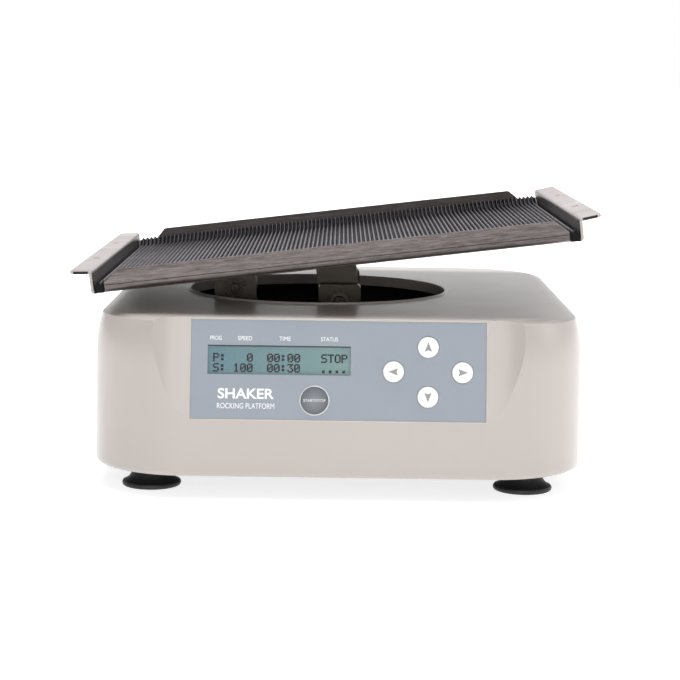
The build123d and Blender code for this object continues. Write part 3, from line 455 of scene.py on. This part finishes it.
def make_materials():
    """One finished material for each slot of the record."""
    plates = {
        "housing_plastic": housing_plastic(),
        "painted_steel": moulded_plastic("painted_steel", (0.02, 0.02, 0.02), 0.5, 0.25),
        "rubber_black": rubber("rubber_black", (0.012, 0.012, 0.012), 0.5),
        "groove_rubber": rubber("groove_rubber", (0.003, 0.003, 0.0035), gloss=0.12),
        "mat_rubber": mat_rubber(),
        # zinc steel is coloured near black, far darker than bare metal
        "zinc_steel": brushed_metal("zinc_steel", (0.07, 0.062, 0.052), 0.4, "z"),
        "panel_film": satin_film("panel_film", (0.272, 0.308, 0.356)),
        "clear_window": clear_window(),
        "display_glass": display_glass(),
        "circuit_board": circuit_board(),
        "black_plastic": moulded_plastic("black_plastic", (0.015, 0.015, 0.015), 0.4, 0.1),
        "brass_pillar": brushed_metal("brass_pillar", (0.7, 0.5, 0.25), 0.3, "z"),
        "plate_aluminium": brushed_metal("plate_aluminium", (0.75, 0.75, 0.75), 0.35, "x"),
        # machined aluminium is coloured near black, far darker than bare metal
        "machined_aluminium": brushed_metal("machined_aluminium", (0.046, 0.04, 0.033), 0.38, "x"),
        "bearing_steel": bearing_steel(),
        "crank_steel": brushed_metal("crank_steel", (0.4, 0.4, 0.4), 0.4, "y"),
        "motor_can": brushed_metal("motor_can", (0.3, 0.3, 0.31), 0.4, "y"),
        "tray_steel": tray_steel(),
        "key_white": moulded_plastic("key_white", (0.86, 0.86, 0.86), 0.35, 0.02),
        "key_grey": key_grey(),
    }
    plates["white_ink"] = ink("white_ink", (0.9, 0.91, 0.92))
    plates["grey_ink"] = ink("grey_ink", (0.29, 0.29, 0.29))
    plates["display_ink"] = ink("display_ink", (0.002, 0.004, 0.014), 0.5)
    # painted shadow colour for the line along the display's upper edge
    plates["display_top_shadow"] = ink("display_top_shadow", (0.02, 0.03, 0.03))
    # the bead's relief is real; its colour, lighter than the housing, is painted highlight
    plates["border"] = satin_film("border", (0.52, 0.49, 0.46), 0.3)
    return plates


MATERIALS = make_materials()


def dress_cad_nodes():
    """Gives every CAD node the finished material of its slot."""
    for subpart in frame["record"]["subparts"]:
        mesh = NODES[subpart["node"]].data
        material = MATERIALS[subpart["material_slot"]]
        if not mesh.materials:
            mesh.materials.append(material)
        for index in range(len(mesh.materials)):
            mesh.materials[index] = material


# ---------------------------------------------------------------- mesh helpers
def add_piece(name, mesh, material, body):
    """Links a mesh as a piece that rides on a body."""
    piece = bpy.data.objects.new(name, mesh)
    bpy.context.scene.collection.objects.link(piece)
    mesh.materials.append(material)
    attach(piece, body)
    return piece


def mesh_from(name, points, faces, smooth=True):
    """A mesh made of points and faces."""
    mesh = bpy.data.meshes.new(name)
    mesh.from_pydata([tuple(point) for point in points], [], faces)
    mesh.validate()
    if smooth:
        mesh.polygons.foreach_set("use_smooth", [True] * len(mesh.polygons))
    mesh.update()
    return mesh


# ---------------------------------------------------------------- ribbed mat
def rib_height(phase):
    """Height of the ribs across one pitch: a rounded ridge between rounded grooves."""
    return RIB_HEIGHT * (0.5 - 0.5 * math.cos(2 * math.pi * phase)) ** 0.75


def mat_path(low, high):
    """Places and turns along the mat, front to back: flat, then curling up to the back lip."""
    flat_end = high.y - CURL_RADIUS * math.sin(math.radians(CURL_TURN))
    path = [(low.y + (flat_end - low.y) * step / 12, 0.0, 0.0) for step in range(13)]
    for step in range(1, 11):
        turn = math.radians(CURL_TURN * step / 10)
        path.append((flat_end + CURL_RADIUS * math.sin(turn), CURL_RADIUS * (1 - math.cos(turn)), turn))
    return path


def make_mat():
    """The mat with its fine ribs running front to back."""
    low, high = extent("ribbed_mat", TRAY)
    bottom = low.z
    base = -RIB_HEIGHT
    ribs = int((high.x - low.x) / RIB_PITCH)
    start = (low.x + high.x - ribs * RIB_PITCH) / 2
    across = [(low.x, 0.0)]
    for rib in range(ribs):
        across += [(start + (rib + phase) * RIB_PITCH, rib_height(phase)) for phase in RIB_SAMPLES]
    across += [(start + ribs * RIB_PITCH, 0.0), (high.x, 0.0)]
    path = mat_path(low, high)
    points, faces = [], []
    for y, lift, turn in path:
        normal_y, normal_z = -math.sin(turn), math.cos(turn)
        for x, rib in across:
            top = base + rib - bottom
            points.append(TRAY @ Vector((x, y + normal_y * top, bottom + lift + normal_z * top)))
        for x in (low.x, high.x):
            points.append(TRAY @ Vector((x, y, bottom + lift)))
    row = len(across) + 2
    top_count = len(across)
    for line in range(len(path) - 1):
        here, there = line * row, (line + 1) * row
        for column in range(top_count - 1):
            faces.append((here + column, here + column + 1, there + column + 1, there + column))
        left, right = top_count, top_count + 1
        faces.append((here + left, there + left, there + right, here + right))
        faces.append((here, there, there + left, here + left))
        faces.append((here + top_count - 1, here + right, there + right, there + top_count - 1))
    last = (len(path) - 1) * row
    ring = list(range(top_count))
    faces.append([top_count, top_count + 1] + ring[::-1])
    faces.append([last + i for i in ring] + [last + top_count + 1, last + top_count])
    mesh = mesh_from("ribbed_mat_surface", points, faces)
    mat = add_piece("ribbed_mat_surface", mesh, MATERIALS["mat_rubber"], "platform")
    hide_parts("ribbed_mat")


def make_mat_ends():
    """Ribbed ends of the mat that show in the notches between the front lip and the side walls."""
    low, high = extent("ribbed_mat", TRAY)
    front = extent("tray", TRAY)[0].y
    placement = TRAY @ Matrix.Rotation(math.radians(90), 4, "X")
    peak, valley, bottom = low.z + NOTCH_RISE, low.z + NOTCH_RISE * 0.45, low.z - NOTCH_DROP
    points, faces = [], []
    for inner, outer in ((low.x + NOTCH_WIDE, low.x), (high.x - NOTCH_WIDE, high.x)):
        left, right = min(inner, outer), max(inner, outer)
        crests = [(left + (right - left) * step / 4, valley if step % 2 else peak) for step in range(5)]
        outline = [(left, bottom), (right, bottom)] + crests[::-1]
        prism(outline, 0.1 * MM - low.y, -front - 0.3 * MM, placement, points, faces)
    mesh = mesh_from("mat_ends", points, faces, smooth=False)
    add_piece("mat_ends", mesh, MATERIALS["groove_rubber"], "platform")


# ---------------------------------------------------------------- panel
def prism(outline, low, high, placement, points, faces):
    """Adds a straight-sided block with the given outline to lists of points and faces."""
    start, count = len(points), len(outline)
    for height in (low, high):
        points += [placement @ Vector((x, y, height)) for x, y in outline]
    faces.append([start + count + i for i in range(count)])
    faces.append([start + i for i in reversed(range(count))])
    for i in range(count):
        j = (i + 1) % count
        faces.append([start + i, start + j, start + count + j, start + count + i])


def on_film(x, y, height=0.0):
    """A frame on the panel's film: x and y from the film's middle, height above its face."""
    return PANEL @ Matrix.Translation((x, y, FILM_HIGH.z + height))


def key_frame(name):
    """A frame in the middle of a key's face."""
    low, high = extent(name, PANEL)
    return PANEL @ Matrix.Translation(((low.x + high.x) / 2, (low.y + high.y) / 2, high.z))


FILM_LOW, FILM_HIGH = extent("panel_overlay", PANEL)
GLASS_LOW, GLASS_HIGH = extent("lcd_glass", PANEL)
WINDOW_MARGIN = 1.0 * MM
WINDOW_LEFT, WINDOW_RIGHT = GLASS_LOW.x + WINDOW_MARGIN, GLASS_HIGH.x - WINDOW_MARGIN
WINDOW_BOTTOM, WINDOW_TOP = GLASS_LOW.y + WINDOW_MARGIN, GLASS_HIGH.y - WINDOW_MARGIN


def lit_cells():
    """The display's dark cells on a grid of DOT_CELLS to a dot; each dot runs one cell into the next."""
    cells = set()
    column_cells, row_cells = round(CHARACTER_PITCH / CELL_WIDE), round(ROW_PITCH / CELL_HIGH)
    for row, words in enumerate(DISPLAY_ROWS):
        for column, letter in enumerate(words):
            for line, dots in enumerate(GLYPHS.get(letter, ())):
                for dot in [place for place, lit in enumerate(dots) if lit == "1"]:
                    x, y = column * column_cells + dot * DOT_CELLS, row * row_cells + line * DOT_CELLS
                    cells.update((x + i, y + j) for i in range(DOT_CELLS + 2) for j in range(DOT_CELLS + 1))
    return cells


def make_display_characters():
    """Two rows of dot-matrix characters on the liquid crystal glass."""
    cells = lit_cells()
    block = 20 * CHARACTER_PITCH - (CHARACTER_PITCH - 5 * DOT_CELLS * CELL_WIDE)
    left = (WINDOW_LEFT + WINDOW_RIGHT - block) / 2
    top = WINDOW_TOP - FIRST_ROW_DROP
    points, faces = [], []
    for x, y in sorted(cells):
        if (x - 1, y) in cells:
            continue
        length = 1
        while (x + length, y) in cells:
            length += 1
        x0, x1 = left + x * CELL_WIDE, left + (x + length) * CELL_WIDE
        y0, y1 = top - (y + 1) * CELL_HIGH, top - y * CELL_HIGH
        outline = [(x0, y0), (x1, y0), (x1, y1), (x0, y1)]
        prism(outline, GLASS_HIGH.z, GLASS_HIGH.z + INK, PANEL, points, faces)
    mesh = mesh_from("display_characters", points, faces, smooth=False)
    add_piece("display_characters", mesh, MATERIALS["display_ink"], "base")


def make_display_top_shadow():
    """Painted shadow: a dark line along the display's upper edge."""
    points, faces = [], []
    top, low = WINDOW_TOP, WINDOW_TOP - 0.7 * MM
    outline = [(WINDOW_LEFT, low), (WINDOW_RIGHT, low), (WINDOW_RIGHT, top), (WINDOW_LEFT, top)]
    face = extent("lcd_window", PANEL)[1].z
    prism(outline, face, face + INK, PANEL, points, faces)
    mesh = mesh_from("display_top_shadow", points, faces, smooth=False)
    add_piece("display_top_shadow", mesh, MATERIALS["display_top_shadow"], "base")


def make_words(name, words, placement, high, wide, material, body, weight=0.0):
    """Printed words as thin raised ink, centred on a frame and fitted to a height and width."""
    curve = bpy.data.curves.new(name, "FONT")
    curve.body = words
    curve.extrude = 1.0
    curve.offset = weight
    curve.resolution_u = 4
    holder = bpy.data.objects.new(name + "_text", curve)
    bpy.context.scene.collection.objects.link(holder)
    bpy.context.view_layer.update()
    mesh = bpy.data.meshes.new_from_object(holder)
    bpy.data.objects.remove(holder)
    bpy.data.curves.remove(curve)
    spans = [(min(v.co[i] for v in mesh.vertices), max(v.co[i] for v in mesh.vertices)) for i in range(2)]
    middle = [(low + top) / 2 for low, top in spans]
    scale = [size / (top - low) for size, (low, top) in zip((wide, high), spans)]
    for vertex in mesh.vertices:
        x, y = ((vertex.co[i] - middle[i]) * scale[i] for i in range(2))
        vertex.co = placement @ Vector((x, y, INK * (0.5 + 0.5 * vertex.co.z)))
    mesh.name = name
    mesh.materials.clear()
    mesh.update()
    return add_piece(name, mesh, MATERIALS[material], body)


def make_panel_print():
    """Labels above the display, the machine's name below it."""
    for words, middle in LABELS.items():
        place = on_film(WINDOW_LEFT + middle, WINDOW_TOP + LABEL_ABOVE)
        wide = len(words) * LETTER_WIDE
        make_words("label_" + words.lower(), words, place, LABEL_HIGH, wide, "white_ink", "base")
    place = on_film(WINDOW_LEFT + TITLE_MIDDLE, WINDOW_BOTTOM - TITLE_DROP)
    make_words("title", "SHAKER", place, TITLE_HIGH, TITLE_WIDE, "white_ink", "base", 0.025)
    place = on_film(WINDOW_LEFT + TITLE_MIDDLE, WINDOW_BOTTOM - SUBTITLE_DROP)
    make_words(
        "subtitle", "ROCKING PLATFORM", place, SUBTITLE_HIGH, SUBTITLE_WIDE, "white_ink", "base"
    )


def make_panel_border():
    """Thin rounded bead that frames the film, coloured lighter than the housing as a painted highlight."""
    outer = 0.1 * MM
    low_x, high_x = FILM_LOW.x - outer, FILM_HIGH.x + outer
    low_y, high_y = FILM_LOW.y - outer, FILM_HIGH.y + outer
    section = [(0, 0), (0.08, 0.6), (0.3, 0.95), (0.5, 1.0), (0.7, 0.95), (0.92, 0.6), (1, 0)]
    corners = [(low_x, low_y, -1, -1), (high_x, low_y, 1, -1), (high_x, high_y, 1, 1), (low_x, high_y, -1, 1)]
    points, faces = [], []
    for x, y, sx, sy in corners:
        for out, up in section:
            aside = out * BORDER_WIDE
            points.append(PANEL @ Vector((x + sx * aside, y + sy * aside, FILM_HIGH.z + up * BORDER_HIGH)))
    count = len(section)
    for corner in range(4):
        here, there = corner * count, ((corner + 1) % 4) * count
        for i in range(count - 1):
            faces.append([here + i, here + i + 1, there + i + 1, there + i])
        faces.append([here + count - 1, here, there, there + count - 1])
    mesh = mesh_from("panel_border", points, faces)
    add_piece("panel_border", mesh, MATERIALS["border"], "base")


def make_key_marks():
    """A notched arrow on each arrow key."""
    half, long, notch = ARROW_WIDE / 2, ARROW_LONG, ARROW_LONG * 0.14
    dart = [(0, long * 0.55), (-half, -long * 0.45), (0, -long * 0.45 + notch), (half, -long * 0.45)]
    for name, turn in (("key_up", 0), ("key_left", 90), ("key_down", 180), ("key_right", 270)):
        points, faces = [], []
        placement = key_frame(name) @ Matrix.Rotation(math.radians(turn), 4, "Z")
        prism(dart, 0, INK, placement, points, faces)
        mesh = mesh_from(name + "_mark", points, faces, smooth=False)
        add_piece(name + "_mark", mesh, MATERIALS["grey_ink"], name)


def make_ring(name, placement, section, material, body, rounds=64):
    """A turned ring from its section, a closed loop of radius and height."""
    points, faces = [], []
    for step in range(rounds):
        turn = 2 * math.pi * step / rounds
        points += [placement @ Vector((r * math.cos(turn), r * math.sin(turn), z)) for r, z in section]
    count = len(section)
    for step in range(rounds):
        here, there = step * count, ((step + 1) % rounds) * count
        for i in range(count):
            j = (i + 1) % count
            faces.append([here + j, there + j, there + i, here + i])
    add_piece(name, mesh_from(name, points, faces), MATERIALS[material], body)


def make_start_key_face():
    """White ring around the start key, and the words on it."""
    low, high = extent("key_start", PANEL)
    placement = key_frame("key_start")
    radius = (high.x - low.x) / 2 - KEY_COLLAR + 0.06 * MM
    film = FILM_HIGH.z - high.z
    rise = START_RIM * 0.5
    section = [
        (radius, film + 0.02 * MM),
        (radius + 0.1 * MM, film + rise),
        (radius + START_RIM - 0.15 * MM, film + rise),
        (radius + START_RIM, film + 0.02 * MM),
    ]
    make_ring("start_ring", placement, section, "white_ink", "base")
    high, wide = START_WORDS_HIGH, START_WORDS_WIDE
    make_words("key_start_words", "START/STOP", placement, high, wide, "white_ink", "key_start")


def make_switch_marks():
    """A bar on the power switch's upper half and a ring on its lower half."""
    joint = JOINTS["power_rocker_flip"]
    pivot = Vector(joint["pos_m"])
    tilt = Matrix.Rotation(math.radians(SWITCH_TILT), 4, "X")
    for name, side in (("switch_on_mark", 1), ("switch_off_mark", -1)):
        place = Vector((0, SWITCH_FACE, side * SWITCH_MARK_UP))
        out = Vector((0, 1, -side * SWITCH_HOLLOW))
        placement = Matrix.Translation(pivot) @ tilt @ axes_frame(place, (-1, 0, 0), out)
        if side > 0:
            points, faces = [], []
            x, y = ON_BAR_WIDE / 2, ON_BAR_LONG / 2
            prism([(-x, -y), (x, -y), (x, y), (-x, y)], 0, INK * 2, placement, points, faces)
            mesh = mesh_from(name, points, faces, smooth=False)
            add_piece(name, mesh, MATERIALS["white_ink"], "power_rocker")
        else:
            inner, outer = OFF_RING_INNER, OFF_RING_OUTER
            section = [(inner, 0), (inner, INK * 2), (outer, INK * 2), (outer, 0)]
            make_ring(name, placement, section, "white_ink", "power_rocker", 32)


# ---------------------------------------------------------------- studio
def make_floor():
    """Plain pale floor, lit from within like a light table."""
    size = 30.0
    corners = [(-size, -size, 0), (size, -size, 0), (size, size, 0), (-size, size, 0)]
    mesh = mesh_from("floor", [Vector(c) for c in corners], [(0, 1, 2, 3)], smooth=False)
    look = Look("floor", Roughness=0.7)
    look.colour(look.ramp(look.noise(2, 2), (0.51, 0.51, 0.51), (0.53, 0.53, 0.53)))
    look.shader.inputs["Emission Color"].default_value = (1, 1, 1, 1)
    look.shader.inputs["Emission Strength"].default_value = 0.79
    mesh.materials.append(look.material)
    floor = bpy.data.objects.new("floor", mesh)
    bpy.context.scene.collection.objects.link(floor)


def add_area_light(name, place, aim, size, power):
    """A soft white box light aimed at a point."""
    light = bpy.data.lights.new(name, "AREA")
    light.shape = "RECTANGLE"
    light.size, light.size_y = size
    light.energy = power
    lamp = bpy.data.objects.new(name, light)
    lamp.location = place
    direction = Vector(aim) - Vector(place)
    lamp.rotation_euler = direction.to_track_quat("-Z", "Y").to_euler()
    bpy.context.scene.collection.objects.link(lamp)


def add_sun(name, direction, power, spread):
    """A broad distant light that shines in a direction."""
    light = bpy.data.lights.new(name, "SUN")
    light.energy = power
    light.angle = math.radians(spread)
    lamp = bpy.data.objects.new(name, light)
    lamp.rotation_euler = Vector(direction).to_track_quat("-Z", "Y").to_euler()
    bpy.context.scene.collection.objects.link(lamp)


def make_lights():
    """A low broad light from the front, one from overhead, side boxes and a graded surround."""
    add_sun("front_light", (0.0, 1.0, -0.14), 1.47, 50)
    add_sun("top_light", (0.0, -0.2, -1.0), 3.2, 25)
    add_area_light("left_box", (-1.5, -0.6, 0.8), (0, 0, 0.08), (0.7, 1.1), 0.5)
    add_area_light("right_box", (1.6, -0.3, 0.8), (0, 0, 0.08), (0.7, 1.1), 3)
    world = bpy.data.worlds.new("surround")
    bpy.context.scene.world = world
    world.use_nodes = True
    tree = world.node_tree
    nodes, links = tree.nodes, tree.links
    direction = nodes.new("ShaderNodeTexCoord")
    split = nodes.new("ShaderNodeSeparateXYZ")
    remap = nodes.new("ShaderNodeMapRange")
    ramp = nodes.new("ShaderNodeValToRGB")
    path = nodes.new("ShaderNodeLightPath")
    mix = nodes.new("ShaderNodeMix")
    mix.data_type = "RGBA"
    remap.inputs["From Min"].default_value = -1.0
    ramp.color_ramp.elements[0].color = (0.2, 0.19, 0.185, 1)
    ramp.color_ramp.elements[1].color = (1.0, 0.99, 0.99, 1)
    ramp.color_ramp.elements[0].position = 0.25
    ramp.color_ramp.elements[1].position = 0.97
    mix.inputs["B"].default_value = (1.0, 1.0, 1.0, 1)
    links.new(direction.outputs["Generated"], split.inputs["Vector"])
    slant = nodes.new("ShaderNodeMath")
    slant.operation = "MULTIPLY_ADD"
    slant.inputs[1].default_value = SURROUND_SLANT
    links.new(split.outputs["X"], slant.inputs[0])
    links.new(split.outputs["Y"], slant.inputs[2])
    links.new(slant.outputs[0], remap.inputs["Value"])
    links.new(remap.outputs["Result"], ramp.inputs["Fac"])
    links.new(path.outputs["Is Camera Ray"], mix.inputs["Factor"])
    links.new(ramp.outputs["Color"], mix.inputs["A"])
    links.new(mix.outputs["Result"], nodes["Background"].inputs["Color"])
    bpy.context.scene.view_settings.view_transform = "Standard"


def make_camera():
    """Camera in front of the machine, looking slightly down."""
    camera = bpy.data.cameras.new("camera")
    camera.sensor_width = SENSOR
    camera.lens = SENSOR * FOCAL_PIXELS / FRAME_PIXELS
    camera.clip_start = 0.05
    holder = bpy.data.objects.new("camera", camera)
    tilt = Matrix.Rotation(math.radians(90 - CAMERA_PITCH), 4, "X")
    roll = Matrix.Rotation(math.radians(CAMERA_ROLL), 4, "Z")
    holder.matrix_world = Matrix.Translation(CAMERA_PLACE) @ tilt @ roll
    bpy.context.scene.collection.objects.link(holder)
    bpy.context.scene.camera = holder


dress_cad_nodes()
make_mat()
make_mat_ends()
make_display_characters()
make_display_top_shadow()
make_panel_print()
make_panel_border()
make_key_marks()
make_start_key_face()
make_switch_marks()
make_floor()
make_lights()
make_camera()
